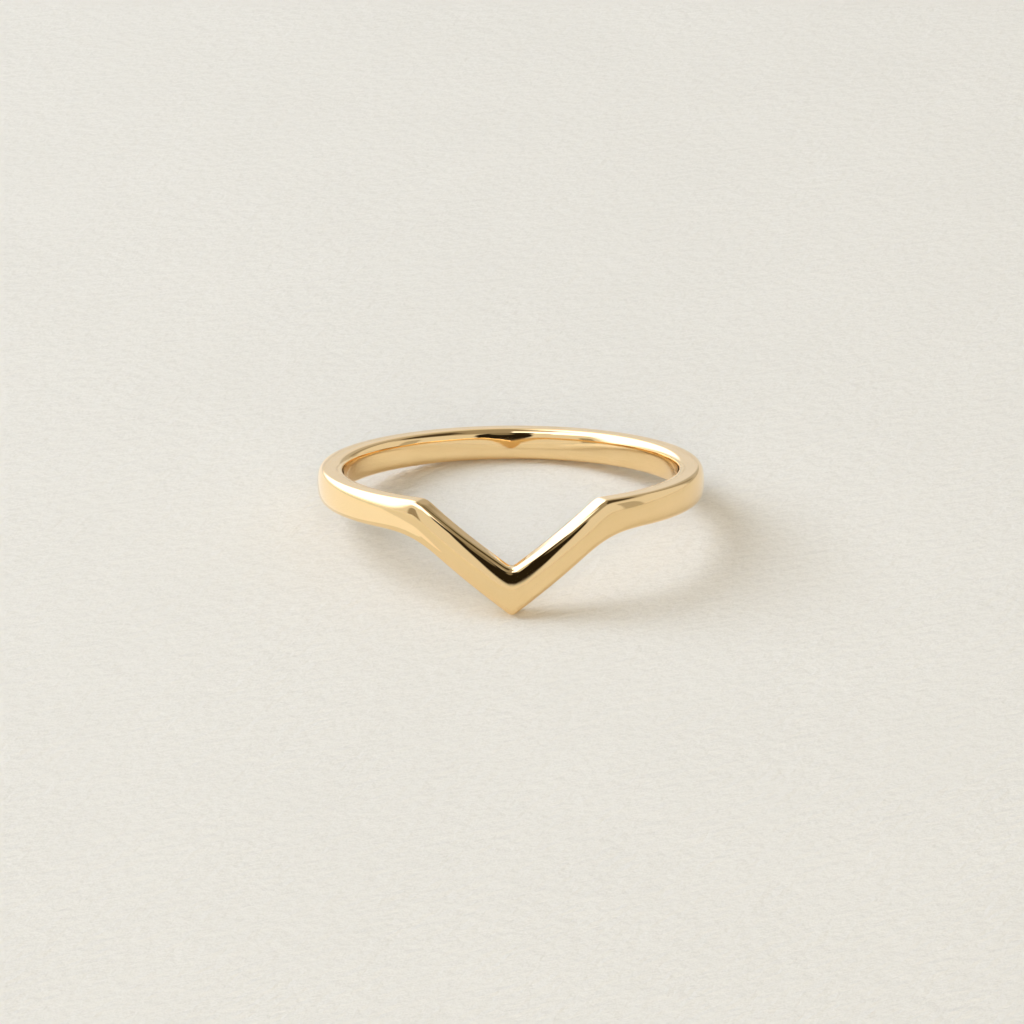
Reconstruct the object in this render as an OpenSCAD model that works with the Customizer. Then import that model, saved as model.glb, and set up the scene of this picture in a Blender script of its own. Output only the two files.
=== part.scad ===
// Chevron ring: one polished gold band that drops into a V at the front.
// It lies on its side, tipped up on the point of the V and on the back of the band.
// Millimetres. X runs across the ring, the V is at the front on -Y, and Z is up.

/* [Band] */
// Inside diameter, for a finger of US size 7
finger_d = 17.3; // [14:0.1:22]
// Thickness from the finger hole to the middle of the outer face
band_t = 1.4; // [1.1:0.05:2.2]
// Width of the band round the back and sides of the finger
band_w = 1.7; // [1.4:0.05:3]
// Rise of the crowned outer face over the flat sides
crown_h = 0.4; // [0.1:0.05:0.7]
// How square the crown is: 2 is half round, 4 is nearly flat with tight edges
crown_squareness = 2.5; // [2:0.1:4]
// Radius of the two edges against the finger, eased for comfort
inner_edge_r = 0.4; // [0.1:0.05:0.5]

/* [Chevron] */
// Angle round the finger from the point of the V to each shoulder
leg_angle = 28.7; // [20:0.1:45]
// Drop from the upper edge of the band to the notch of the V
notch_drop = 3.3; // [1.5:0.1:5]
// Width of each leg at the point, square to the leg
leg_w = 2; // [1.4:0.05:3]
// Radius in the notch, on the upper edge
notch_r = 0.3; // [0.1:0.05:1.5]
// Radius at the tip, on the lower edge
tip_r = 0.33; // [0.1:0.01:1.5]
// Radius over each shoulder, on the upper edge
shoulder_r = 0.9; // [0.4:0.1:4]
// Radius under each shoulder, on the lower edge
underarm_r = 4.8; // [0.5:0.1:7]
// How far the inside of the V is filed clear of the finger hole's circle
v_relief = 0.03; // [0.02:0.01:0.2]

/* [Hidden] */
gold = "#ddb67c";

// Facets: degrees round the shank, and steps along each leg, corner and edge
shank_step = 4;
leg_steps = 10;
shoulder_steps = 7;
point_steps = 5;
crown_steps = 7;
inner_edge_steps = 4;

// The band is laid out flat as a strip, s along its middle from the point of the V and z
// across it, with the upper edge of the shank at z = 0. It is then wrapped round the finger.
bore_r = finger_d / 2;
mid_r = bore_r + band_t / 2;
half_turn = PI * mid_r;
shoulder_s = half_turn * leg_angle / 180;
slope = atan2(notch_drop, shoulder_s);

// Where the straight edges of a leg meet the lower edge of the shank and the other leg
underarm_s = shoulder_s + band_w * tan(slope / 2);
tip_drop = notch_drop + leg_w / cos(slope);

// Centres of the four round corners of one half of the strip
shoulder_c = [shoulder_s + shoulder_r * tan(slope / 2), -shoulder_r];
underarm_c = [underarm_s + underarm_r * tan(slope / 2), -band_w - underarm_r];
notch_c = [0, notch_r / cos(slope) - notch_drop];
tip_c = [0, tip_r / cos(slope) - tip_drop];

// Stations along one half of the strip, from the back of the ring to the point of the V.
// Each is [point on the upper edge, point on the lower edge, slope, is it on the shank].
// The shank starts half a step from the back, so that a whole step lies across the back.
function upward(a) = [-sin(a), cos(a)];
function blend(a, b, share) = a + (b - a) * share;
function shoulder_station(a) =
    [shoulder_c + shoulder_r * upward(a), underarm_c + underarm_r * upward(a), a, false];
function point_station(a) =
    [notch_c - notch_r * upward(a), tip_c - tip_r * upward(a), a, false];

leg_start = shoulder_station(slope);
leg_end = point_station(slope);
shank_steps = round((180 - leg_angle) / shank_step) + 0.5;
half_strip = concat(
    [for (i = [shank_steps - 0.5 : -1 : 1]) [
        [blend(shoulder_c.x, half_turn, i / shank_steps), 0],
        [blend(underarm_c.x, half_turn, i / shank_steps), -band_w],
        0,
        true
    ]],
    [for (i = [0 : shoulder_steps]) shoulder_station(slope * i / shoulder_steps)],
    [for (i = [1 : leg_steps - 1]) [
        blend(leg_start[0], leg_end[0], i / leg_steps),
        blend(leg_start[1], leg_end[1], i / leg_steps),
        slope,
        false
    ]],
    [for (i = [0 : point_steps]) point_station(slope * (1 - i / point_steps))]
);

// Half of the band's section from the finger hole to the middle of the outer face, each
// point [distance in from the edge, height over the finger hole]. The crown is a superellipse.
outer_half = [for (i = [0 : crown_steps]) let (a = 90 * i / crown_steps) [
    band_w / 2 * (1 - pow(cos(a), 2 / crown_squareness)),
    band_t - crown_h * (1 - pow(sin(a), 2 / crown_squareness))
]];

// On the shank the section starts below the finger hole's circle, which the round hole
// then cuts to size. In the V it starts above that circle by the relief.
hole_stock = 0.05;
function inner_edge(a) = inner_edge_r * [1 - sin(a), 1 - cos(a)];
first_facet = inner_edge(0) - inner_edge(90 / inner_edge_steps);
shank_inner_half = concat(
    [inner_edge(0) - first_facet * hole_stock / first_facet.y],
    [for (i = [1 : inner_edge_steps]) inner_edge(90 * i / inner_edge_steps)]
);
v_inner_half =
    [for (i = [0 : inner_edge_steps]) inner_edge(90 * i / inner_edge_steps) + [0, v_relief]];

// A point of the section on the flat strip, as [s, z, height]: square to the edge as far in
// as the tightest outward corner allows, and beyond that on the way to the strip's middle
edge_zone = min(tip_r, shoulder_r, band_w / 4);
function strip_point(station, p, from_edge, inward) =
    let (
        near = station[from_edge] + inward * upward(station[2]) * min(p.x, edge_zone),
        middle = (station[0] + station[1]) / 2,
        q = blend(near, middle, max(0, (p.x - edge_zone) / (band_w / 2 - edge_zone)))
    )
    [q.x, q.y, p.y];
function strip_section(station) =
    let (half = concat(station[3] ? shank_inner_half : v_inner_half, outer_half))
    concat(
        [for (p = half) strip_point(station, p, 0, -1)],
        [for (i = [len(half) - 2 : -1 : 0]) strip_point(station, half[i], 1, 1)]
    );

// Wrapped round the finger, on the right side or mirrored to the left one
function wrapped(p, side) =
    let (turn = 180 * p.x / half_turn, r = bore_r + p.z)
    [side * r * sin(turn), -r * cos(turn), p.y];
half_sections = [for (station = half_strip) strip_section(station)];
sections = concat(
    [for (s = half_sections) [for (p = s) wrapped(p, 1)]],
    [for (i = [len(half_sections) - 2 : -1 : 0]) [for (p = half_sections[i]) wrapped(p, -1)]]
);
points = [for (s = sections) each s];

// The band lies on the lowest point of its front half and the lowest of its back half.
// The angle between them and the floor is worked out again from each last answer.
function height(p, a) = p.z * cos(a) - p.y * sin(a);
function lowest(some, a) =
    let (heights = [for (p = some) height(p, a)]) some[search(min(heights), heights)[0]];
function rest_angle(a, tries) =
    tries == 0 ? a :
    let (
        front = lowest([for (p = points) if (p.y < 0) p], a),
        back = lowest([for (p = points) if (p.y > 0) p], a)
    )
    rest_angle(atan2(back.z - front.z, back.y - front.y), tries - 1);
tilt = rest_angle(0, 4);
depths = [for (p = points) p.y * cos(tilt) + p.z * sin(tilt)];
floor_h = min([for (p = points) height(p, tilt)]);

module closed_sweep(rows) {
    n = len(rows);
    m = len(rows[0]);
    corners = [for (row = rows) each row];
    faces = [for (i = [0 : n - 1], j = [0 : m - 1])
        let (
            a = i * m + j,
            b = i * m + (j + 1) % m,
            c = (i + 1) % n * m + (j + 1) % m,
            d = (i + 1) % n * m + j
        )
        each [[a, b, c], [a, c, d]]];
    polyhedron(corners, faces);
}

module finger_hole() {
    translate([0, 0, -2 * tip_drop])
        cylinder(r = bore_r, h = 4 * tip_drop, $fn = 180);
}

module chevron_band() {
    color(gold)
        translate([0, -(min(depths) + max(depths)) / 2, -floor_h])
            rotate([-tilt, 0, 0])
                difference() {
                    closed_sweep(sections);
                    finger_hole();
                }
}

chevron_band();
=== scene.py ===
import math

import bmesh
import bpy
from mathutils import Matrix, Vector


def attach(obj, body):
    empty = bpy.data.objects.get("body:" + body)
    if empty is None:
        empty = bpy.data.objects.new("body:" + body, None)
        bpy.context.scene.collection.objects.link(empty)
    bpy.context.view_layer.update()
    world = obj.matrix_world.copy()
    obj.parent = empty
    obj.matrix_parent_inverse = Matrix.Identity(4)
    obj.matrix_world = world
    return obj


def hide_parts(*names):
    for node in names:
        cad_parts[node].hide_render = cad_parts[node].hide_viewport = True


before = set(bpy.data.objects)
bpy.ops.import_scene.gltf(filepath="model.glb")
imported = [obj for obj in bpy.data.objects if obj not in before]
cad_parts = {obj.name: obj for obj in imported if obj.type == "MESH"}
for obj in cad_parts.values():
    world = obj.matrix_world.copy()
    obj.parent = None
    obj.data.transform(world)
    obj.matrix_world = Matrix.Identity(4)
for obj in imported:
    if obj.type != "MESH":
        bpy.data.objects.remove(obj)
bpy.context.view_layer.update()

# Camera: a long lens looking down on the ring from the front, about 25 degrees over the
# table and 28 cm away, turned so that the point of the V is a hair right of centre.
mm = 0.001
camera_at = Vector((-0.690, -249.769, 116.721)) * mm
camera_right = Vector((0.99998, -0.00480, -0.00394))
camera_back = Vector((-0.00270, -0.90760, 0.41982)).normalized()
camera_up = camera_back.cross(camera_right).normalized()
camera_right = camera_up.cross(camera_back)

lens = bpy.data.cameras.new("table_camera")
lens.lens = 185.98
lens.sensor_width = 36
lens.clip_start = 0.01
lens.clip_end = 20
table_camera = bpy.data.objects.new("table_camera", lens)
table_camera.matrix_world = Matrix.Translation(camera_at) @ Matrix(
    (camera_right, camera_up, camera_back)).transposed().to_4x4()
bpy.context.scene.collection.objects.link(table_camera)
bpy.context.scene.camera = table_camera

# Chevron ring: one band of 14 ct yellow gold. A bar is filed to a crowned section, bent down
# into a V at its middle, rolled round a mandrel, soldered shut at the back and polished.
finger_d = 17.3 * mm
band_t = 1.4 * mm
band_w = 1.7 * mm
mid_r = (finger_d + band_t) / 2
bar_length = 2 * math.pi * mid_r

# The bar starts out flat, with x along it, z across it, the shank's upper edge at z = 0 and
# the finger side towards +y. Half of it is given, and mirrored. These are one leg's corners.
notch = Vector((0, -3.318)) * mm
tip = Vector((0, -5.7535)) * mm
shoulder = Vector((4.683, 0)) * mm
underarm = Vector((5.071, -1.685)) * mm

# Columns of the mesh, from the point of the V to the back, each with its place on the upper
# edge and on the lower edge: shares of the way up the leg, then x in mm past the shoulder,
# and then x in mm on the plain shank
leg_shares = ((0, 0), (0.07, 0.062), (0.28, 0.215), (0.49, 0.37), (0.70, 0.51),
              (0.905, 0.63), (1, 1))
past_shoulder = ((5.23, 7.76), (7.2, 8.9), (10.0, 11.35), (12.8, 13.5))
on_shank = [15.9 + 2.7 * step for step in range(5)]
columns = [(notch.lerp(shoulder, upper), tip.lerp(underarm, lower))
           for upper, lower in leg_shares]
columns += [(Vector((upper * mm, 0)), Vector((lower * mm, -band_w)))
            for upper, lower in past_shoulder]
columns += [(Vector((x * mm, 0)), Vector((x * mm, -band_w))) for x in on_shank]

# Loops that run the length of the bar, by their height over the finger side, and the two
# steps of the crown on the outer face, each as how far in and how far up
flat_side = 1.035 * mm
inner_loop = 0.6 * mm
side_loop = 0.75 * mm
crown_steps = ((0.03 * mm, 0.162 * mm), (0.213 * mm, 0.150 * mm))
crown_top = 0.051 * mm


def pick(test, kind="VERT"):
    """Selects the open piece's vertices, edges or faces that pass the test of their place."""
    bpy.ops.mesh.select_mode(type=kind)
    bpy.ops.mesh.select_all(action="DESELECT")
    shape = bmesh.from_edit_mesh(bpy.context.object.data)
    for part in {"VERT": shape.verts, "EDGE": shape.edges, "FACE": shape.faces}[kind]:
        if test(part):
            part.select_set(True)
    shape.select_flush_mode()
    bmesh.update_edit_mesh(bpy.context.object.data)


def near(a, b, gap=0.005 * mm):
    """Whether two lengths on the bar are the same, give or take the gap."""
    return abs(a - b) < gap


def crosses(edge, y, half_width=0.8 * mm):
    """Whether an edge lies at y and runs across the bar for more than half its width."""
    a, b = edge.verts
    return near(a.co.y, y) and near(b.co.y, y) and abs(a.co.z - b.co.z) > half_width


bpy.ops.object.select_all(action="DESELECT")
bpy.ops.mesh.primitive_cube_add(size=1, location=(0, 0, 0))
ring = bpy.context.object
ring.name = "chevron_ring"
bpy.ops.object.mode_set(mode="EDIT")
bpy.ops.transform.resize(value=(bar_length, flat_side, band_w))
bpy.ops.transform.translate(value=(0, band_t / 2 - flat_side / 2, -band_w / 2))
pick(lambda face: abs(face.normal.x) > 0.9, "FACE")
bpy.ops.mesh.delete(type="ONLY_FACE")

# Each column is cut straight across at first, and its two ends are then pushed into the V,
# the hindmost columns first. The middle column is the only one that has no mirror image.
cuts = [(upper.x + lower.x) / 2 for upper, lower in columns]
for cut in cuts:
    for x in {cut, -cut}:
        bpy.ops.mesh.select_all(action="SELECT")
        bpy.ops.mesh.bisect(plane_co=(x, 0, 0), plane_no=(1, 0, 0))
for cut, (upper, lower) in reversed(list(zip(cuts, columns))):
    for side in {1, -1 if cut else 1}:
        for edge_z, corner in ((0, upper), (-band_w, lower)):
            pick(lambda v: near(v.co.x, side * cut) and near(v.co.z, edge_z))
            bpy.ops.transform.translate(value=(
                side * corner.x - side * cut, 0, corner.y - edge_z))

for height in (inner_loop, side_loop):
    bpy.ops.mesh.select_all(action="SELECT")
    bpy.ops.mesh.bisect(plane_co=(0, band_t / 2 - height, 0), plane_no=(0, 1, 0))

pick(lambda face: face.normal.y < -0.9, "FACE")
for width, rise in crown_steps:
    bpy.ops.mesh.inset(thickness=width, depth=rise, use_boundary=False)

# The middle of the crown is cut twice along its length, and what lies between the cuts is
# raised a touch
crown_edge = band_t / 2 - flat_side - sum(rise for width, rise in crown_steps)
pick(lambda edge: crosses(edge, crown_edge), "EDGE")
bpy.ops.mesh.subdivide(number_cuts=2)
pick(lambda v: near(v.co.y, crown_edge) and all(
    len(e.link_faces) < 2 or all(near(f.calc_center_median().y, crown_edge) for f in e.link_faces)
    for e in v.link_edges))
bpy.ops.transform.translate(value=(0, -crown_top, 0))

# The legs meet in a ridge, which the polishing wheel has rounded in the crook of the V. The
# crown's points next to it, by x and z in mm, are drawn up the leg by so many millimetres.
up_leg_x, up_leg_z = 0.817, 0.577
for side in (1, -1):
    for x, z, along in ((0.468, -3.284, 0.2), (0.366, -3.963, 0.45), (0.264, -4.641, 0.35)):
        pick(lambda v: v.co.y < crown_edge + 0.01 * mm
             and near(v.co.x, side * x * mm, 0.05 * mm) and near(v.co.z, z * mm, 0.05 * mm))
        bpy.ops.transform.translate(value=(
            side * along * up_leg_x * mm, 0, along * up_leg_z * mm))

# The finger side is cut once along its length, so that both its edges are eased for comfort
pick(lambda edge: crosses(edge, band_t / 2), "EDGE")
bpy.ops.mesh.subdivide(number_cuts=1)
bpy.ops.object.mode_set(mode="OBJECT")

# Smoothed by the polishing wheel. Each corner of the mesh keeps its place on the straight
# bar, measured along and across the band, for the wheel's marks to follow.
smooth = ring.modifiers.new("polish_round", "SUBSURF")
smooth.levels = smooth.render_levels = 3
bpy.ops.object.modifier_apply(modifier=smooth.name)
leg_drop = -(notch.y + tip.y) / 2 - band_w / 2
leg_reach = (shoulder.x + underarm.x) / 2
lay = ring.data.attributes.new("lay", "FLOAT_VECTOR", "CORNER")
for corner, loop in zip(lay.data, ring.data.loops):
    x, y, z = ring.data.vertices[loop.vertex_index].co
    corner.vector = (x, y, z + leg_drop * max(0, 1 - abs(x) / leg_reach))

# Rolled into a ring, closed at the back, and centred on the finger
roll = ring.modifiers.new("roll", "SIMPLE_DEFORM")
roll.deform_method = "BEND"
roll.deform_axis = "Z"
roll.angle = 2 * math.pi
bpy.ops.object.modifier_apply(modifier=roll.name)
bpy.ops.object.mode_set(mode="EDIT")
pick(lambda v: near(v.co.x, 0, 0.01 * mm) and v.co.y > mid_r)
bpy.ops.mesh.remove_doubles(threshold=0.001 * mm)
bpy.ops.mesh.select_all(action="SELECT")
bpy.ops.mesh.normals_make_consistent(inside=False)
bpy.ops.transform.translate(value=(0, -mid_r, 0))
bpy.ops.object.mode_set(mode="OBJECT")
bpy.ops.object.shade_smooth()

# Laid on its side, where it leans back on the point of the V and the back of the band
ring.rotation_euler.x = math.radians(-11.9601)
ring.location = Vector((0, 0.5785, 3.6691)) * mm
bpy.ops.object.transform_apply(location=True, rotation=True, scale=True)


def srgb(code):
    """A colour's sRGB hex value as linear light."""
    parts = [int(code[i:i + 2], 16) / 255 for i in (1, 3, 5)]
    return [p / 12.92 if p <= 0.04045 else ((p + 0.055) / 1.055) ** 2.4 for p in parts] + [1]


def add(tree, kind, settings=None, links=None):
    """Adds a node with its settings, and links its inputs to other nodes' outputs."""
    node = tree.nodes.new(kind)
    for name, value in (settings or {}).items():
        if isinstance(name, int) or name in node.inputs:
            node.inputs[name].default_value = value
        else:
            setattr(node, name, value)
    for name, source in (links or {}).items():
        tree.links.new(source, node.inputs[name])
    return node


# Polished 14 ct yellow gold, finished on a felt wheel that ran along the band. Its marks are
# really 5 to 10 microns wide. They are drawn ten times as wide, or the picture would lose
# them. The wheel has also left low waves, and the alloy is a touch paler in places.
mark_length = 2.5 * mm
mark_width = 0.08 * mm
mark_depth = 0.00025 * mm
wave_width = 1.4 * mm
wave_depth = 0.0025 * mm

gold = bpy.data.materials.new("polished_yellow_gold")
gold.use_nodes = True
tree = gold.node_tree
tree.nodes.clear()
place_on_bar = add(tree, "ShaderNodeAttribute", {"attribute_name": "lay"}).outputs["Vector"]
along = add(tree, "ShaderNodeVectorMath", {
    "operation": "MULTIPLY", 1: (1 / mark_length, 1 / mark_width, 1 / mark_width)},
    {0: place_on_bar})
marks = add(tree, "ShaderNodeTexNoise", {"Scale": 1.0, "Detail": 2.0},
            {"Vector": along.outputs[0]})
waves = add(tree, "ShaderNodeTexNoise", {"Scale": 1 / wave_width, "Detail": 1.0},
            {"Vector": place_on_bar})
haze = add(tree, "ShaderNodeMapRange", {
    "From Min": 0.35, "From Max": 0.7, "To Min": 0.03, "To Max": 0.09},
    {"Value": marks.outputs["Fac"]})
wavy = add(tree, "ShaderNodeBump", {"Strength": 1.0, "Distance": wave_depth},
           {"Height": waves.outputs["Fac"]})
brushed = add(tree, "ShaderNodeBump", {"Strength": 1.0, "Distance": mark_depth},
              {"Height": marks.outputs["Fac"], "Normal": wavy.outputs["Normal"]})
tone = add(tree, "ShaderNodeMix", {
    "data_type": "RGBA", 6: srgb("#F8D8A0"), 7: srgb("#FCDCA8")}, {0: waves.outputs["Fac"]})
shine = add(tree, "ShaderNodeBsdfPrincipled", {"Metallic": 1}, {
    "Base Color": tone.outputs[2],
    "Roughness": haze.outputs["Result"],
    "Normal": brushed.outputs["Normal"]})
add(tree, "ShaderNodeOutputMaterial", links={"Surface": shine.outputs["BSDF"]})
ring.data.materials.clear()
ring.data.materials.append(gold)
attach(ring, "root")
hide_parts("chevron_band")

# Table: a sheet of thick, uncoated cotton paper that lies flat under the ring. It is moulded
# on a felt, which leaves a low, close grain that runs aslant to the view.
grain_length = 1.0 * mm
grain_width = 0.45 * mm
grain_depth = 0.13 * mm
grain_angle = math.radians(44)
cloud_width = 14 * mm

bpy.ops.object.select_all(action="DESELECT")
bpy.ops.mesh.primitive_plane_add(size=3)
table = bpy.context.object
table.name = "paper_table"
paper = bpy.data.materials.new("uncoated_cotton_paper")
paper.use_nodes = True
tree = paper.node_tree
tree.nodes.clear()
where = add(tree, "ShaderNodeTexCoord").outputs["Object"]
aslant = add(tree, "ShaderNodeMapping", {
    "vector_type": "TEXTURE", "Rotation": (0, 0, grain_angle),
    "Scale": (grain_length, grain_width, mm)}, {"Vector": where})
pulp = add(tree, "ShaderNodeTexNoise", {"Scale": 1.0, "Detail": 3.0, "Roughness": 0.6},
           {"Vector": aslant.outputs[0]})
cloud = add(tree, "ShaderNodeTexNoise", {"Scale": 1 / cloud_width, "Detail": 2.0},
            {"Vector": where})
grain = add(tree, "ShaderNodeBump", {"Strength": 1.0, "Distance": grain_depth},
            {"Height": pulp.outputs["Fac"]})
shade = add(tree, "ShaderNodeMix", {
    "data_type": "RGBA", 6: srgb("#E5E2DA"), 7: srgb("#E9E6DE")}, {0: cloud.outputs["Fac"]})
matt = add(tree, "ShaderNodeBsdfPrincipled", {"Roughness": 0.9, "Specular IOR Level": 0.0}, {
    "Base Color": shade.outputs[2], "Normal": grain.outputs["Normal"]})
add(tree, "ShaderNodeOutputMaterial", links={"Surface": matt.outputs["BSDF"]})
table.data.materials.append(paper)

# Lights: three softboxes round the table light the paper. The one on the left, a little behind
# the ring, is cool as daylight, and the low one in front and the one overhead, wider than the
# table, are warm. The gold mirrors the room instead of them.
scene = bpy.context.scene
scene.view_settings.view_transform = "Standard"
for name, tint, place, size, bright in (
        ("left_softbox", "#DFECFF", (-0.732, 0.183, 0.656), 0.75, 4.73),
        ("front_softbox", "#FFF1D9", (0, -1.90, 0.62), 1.20, 6.50),
        ("ceiling_softbox", "#FFF8EC", (0, 0, 1.40), 8.00, 0.512)):
    lamp = bpy.data.lights.new(name, "AREA")
    lamp.size = size
    lamp.energy = bright * math.pi * size * size
    lamp.color = srgb(tint)[:3]
    light = bpy.data.objects.new(name, lamp)
    light.location = place
    light.rotation_euler = Vector(place).to_track_quat("Z", "Y").to_euler()
    light.visible_camera = light.visible_glossy = False
    scene.collection.objects.link(light)

# White card: it lies face up on the table at the left of the ring and shines back the light
# of the windows, so that the face of the band over it is paler. Only the gold shows it.
card_width, card_length = 60 * mm, 90 * mm
card_bright = 0.28
lamp = bpy.data.lights.new("white_card", "AREA")
lamp.shape = "RECTANGLE"
lamp.size, lamp.size_y = card_width, card_length
lamp.energy = card_bright * math.pi * card_width * card_length
lamp.color = srgb("#DCE9FF")[:3]
light = bpy.data.objects.new("white_card", lamp)
light.location = Vector((-42, 28, 0.1)) * mm
light.rotation_euler.x = math.pi
light.visible_camera = light.visible_diffuse = False
scene.collection.objects.link(light)

# Room: painted walls, tall windows behind a thin curtain on the left, a lit ceiling panel and
# the camera on its stand. It is seen only in the gold, as the softboxes light the paper.
room = bpy.data.worlds.new("studio_room")
scene.world = room
room.cycles_visibility.diffuse = False
room.use_nodes = True
tree = room.node_tree
tree.nodes.clear()
way = add(tree, "ShaderNodeTexCoord").outputs["Generated"]
axes = add(tree, "ShaderNodeSeparateXYZ", links={0: way})
forward = add(tree, "ShaderNodeMath", {"operation": "MULTIPLY", 1: -1}, {0: axes.outputs["Y"]})
turn = add(tree, "ShaderNodeMath", {"operation": "ARCTAN2"},
           {0: axes.outputs["X"], 1: forward.outputs[0]})
rise = add(tree, "ShaderNodeMath", {"operation": "ARCSINE"}, {0: axes.outputs["Z"]})
angles = add(tree, "ShaderNodeCombineXYZ", links={"X": turn.outputs[0], "Y": rise.outputs[0]})
degrees = add(tree, "ShaderNodeVectorMath", {"operation": "SCALE", "Scale": 180 / math.pi},
              {0: angles.outputs[0]})


def glow(bright):
    """A brightness against white paper as colour: the windows are cool, the dim is warm."""
    return [bright ** power for power in (0.93, 1.0, 1.15)] + [1]


# Each thing in the room: its middle as azimuth, with 0 in front and 90 on the right, and as
# elevation, its half width and half height, and how far its edge fades out, all in degrees,
# and how bright it is. Each lies over those before it, and the first lies over the walls.
walls = glow(0.8)
plain_corner = 3
seen = None
for name, azimuth, elevation, wide, high, fade, bright in (
        ("ceiling", 0, 90, 180, 46, 10, 0.33),
        ("dark_cupboard", 154, 12, 17, 30, 5, 0.50),
        ("wall_corner", 77, 6, 6, 17, 3, 0.47),
        ("ceiling_beam", 99, 55, 39, 10, 4, 0.06),
        ("wall_shelf", 147, 24, 4, 16, 4, 0.30),
        ("windows", -122, 34, 45, 23, 13, 2.40),
        ("ceiling_panel", -58, 57, 53, 12, 5, 2.30),
        ("panel_end", -62, 46, 26, 8, 3, 2.30),
        ("window_frame", -56, 4, 4, 12, 3, 0.32),
        ("camera", 5, 24.5, 20, 20, 3, 0.015),
        ("camera_lens", 6, 37, 9, 9, 3, 0.22),
        ("camera_boom", -10, 42, 9, 10, 3, 0.03)):
    corner = high if "camera" in name else plain_corner
    off = add(tree, "ShaderNodeVectorMath", {
        "operation": "SUBTRACT", 1: (azimuth, elevation, 0)}, {0: degrees.outputs[0]})
    aside = add(tree, "ShaderNodeVectorMath", {"operation": "ABSOLUTE"}, {0: off.outputs[0]})
    beyond = add(tree, "ShaderNodeVectorMath", {
        "operation": "SUBTRACT", 1: (wide - corner, high - corner, 0)}, {0: aside.outputs[0]})
    outside = add(tree, "ShaderNodeVectorMath", {"operation": "MAXIMUM", 1: (0, 0, 0)},
                  {0: beyond.outputs[0]})
    distance = add(tree, "ShaderNodeVectorMath", {"operation": "LENGTH"},
                   {0: outside.outputs[0]})
    share = add(tree, "ShaderNodeMapRange", {
        "interpolation_type": "SMOOTHSTEP", "From Min": corner, "From Max": corner + fade,
        "To Min": 1, "To Max": 0}, {"Value": distance.outputs["Value"]})
    under = {6: seen} if seen else {}
    seen = add(tree, "ShaderNodeMix", {
        "label": name, "data_type": "RGBA", 6: walls, 7: glow(bright)},
        {0: share.outputs["Result"]} | under).outputs[2]
air = add(tree, "ShaderNodeBackground", links={"Color": seen})
add(tree, "ShaderNodeOutputWorld", links={"Surface": air.outputs["Background"]})
